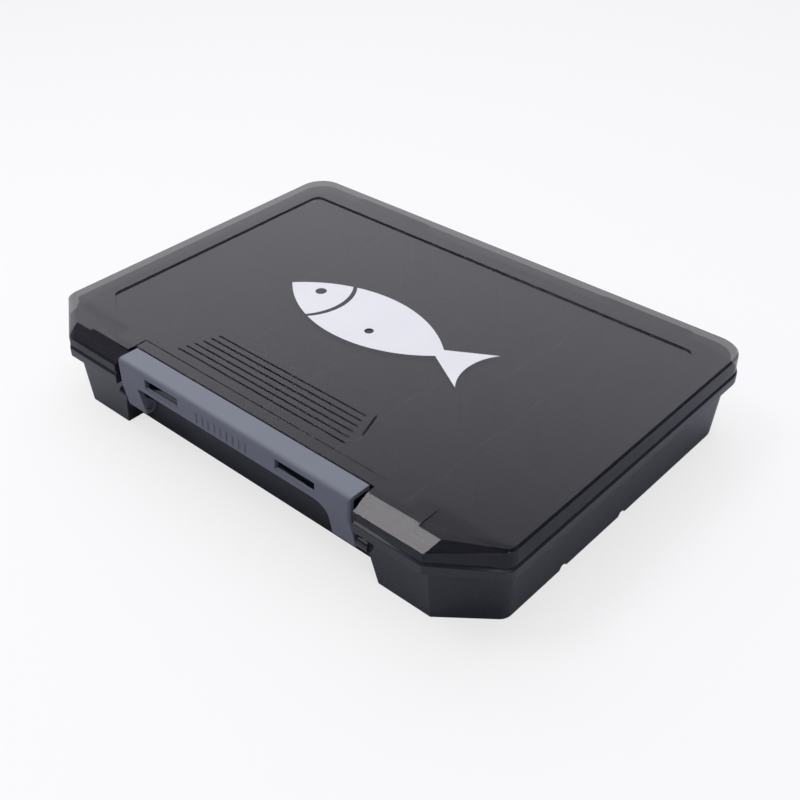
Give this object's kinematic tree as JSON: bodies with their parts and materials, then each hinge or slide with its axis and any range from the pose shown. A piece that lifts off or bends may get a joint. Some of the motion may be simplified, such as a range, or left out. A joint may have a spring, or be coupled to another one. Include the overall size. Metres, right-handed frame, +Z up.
{
  "type": "fishing tackle case",
  "caption": "Flat hand-held tackle case: lengthwise lanes with loose dividers, smoke lid on rear hinges and one wide swinging front latch.",
  "frame": {"origin": "middle of the case's outline, on the surface that it stands on", "axes": "+X along the latch to the right, +Y from the latch to the hinges, +Z up"},
  "size_m": [0.255, 0.1854, 0.04],
  "materials": {
    "tray": "smooth moulded black, semi-gloss",
    "lid": "polished smoke plastic, dark and slightly see-through",
    "latch": "fine-textured blue grey",
    "divider": "thin moulded grey",
    "pin": "drawn steel wire",
    "print": "pale printed ink"
  },
  "bodies": {
    "tray": {"tray": "tray", "hinge_pin_left": "pin", "hinge_pin_right": "pin", "latch_pin_left": "pin", "latch_pin_right": "pin", "divider_front_1": "divider", "divider_front_2": "divider", "divider_front_3": "divider", "divider_front_4": "divider", "divider_front_5": "divider", "divider_middle_1": "divider", "divider_middle_2": "divider", "divider_middle_3": "divider", "divider_middle_4": "divider", "divider_middle_5": "divider", "divider_rear_1": "divider", "divider_rear_2": "divider", "divider_rear_3": "divider"},
    "lid": {"lid": "lid"},
    "latch": {"latch": "latch"}
  },
  "joints": [
    {"name": "lid_hinge", "type": "hinge", "parent": "tray", "child": "lid", "pos_m": [0, 0.08985, 0.0318], "axis": [-1, 0, 0], "range_deg": [0, 110]},
    {"name": "latch_pivot", "type": "hinge", "parent": "tray", "child": "latch", "pos_m": [0, -0.08715, 0.0185], "axis": [1, 0, 0], "range_deg": [0, 100]}
  ]
}
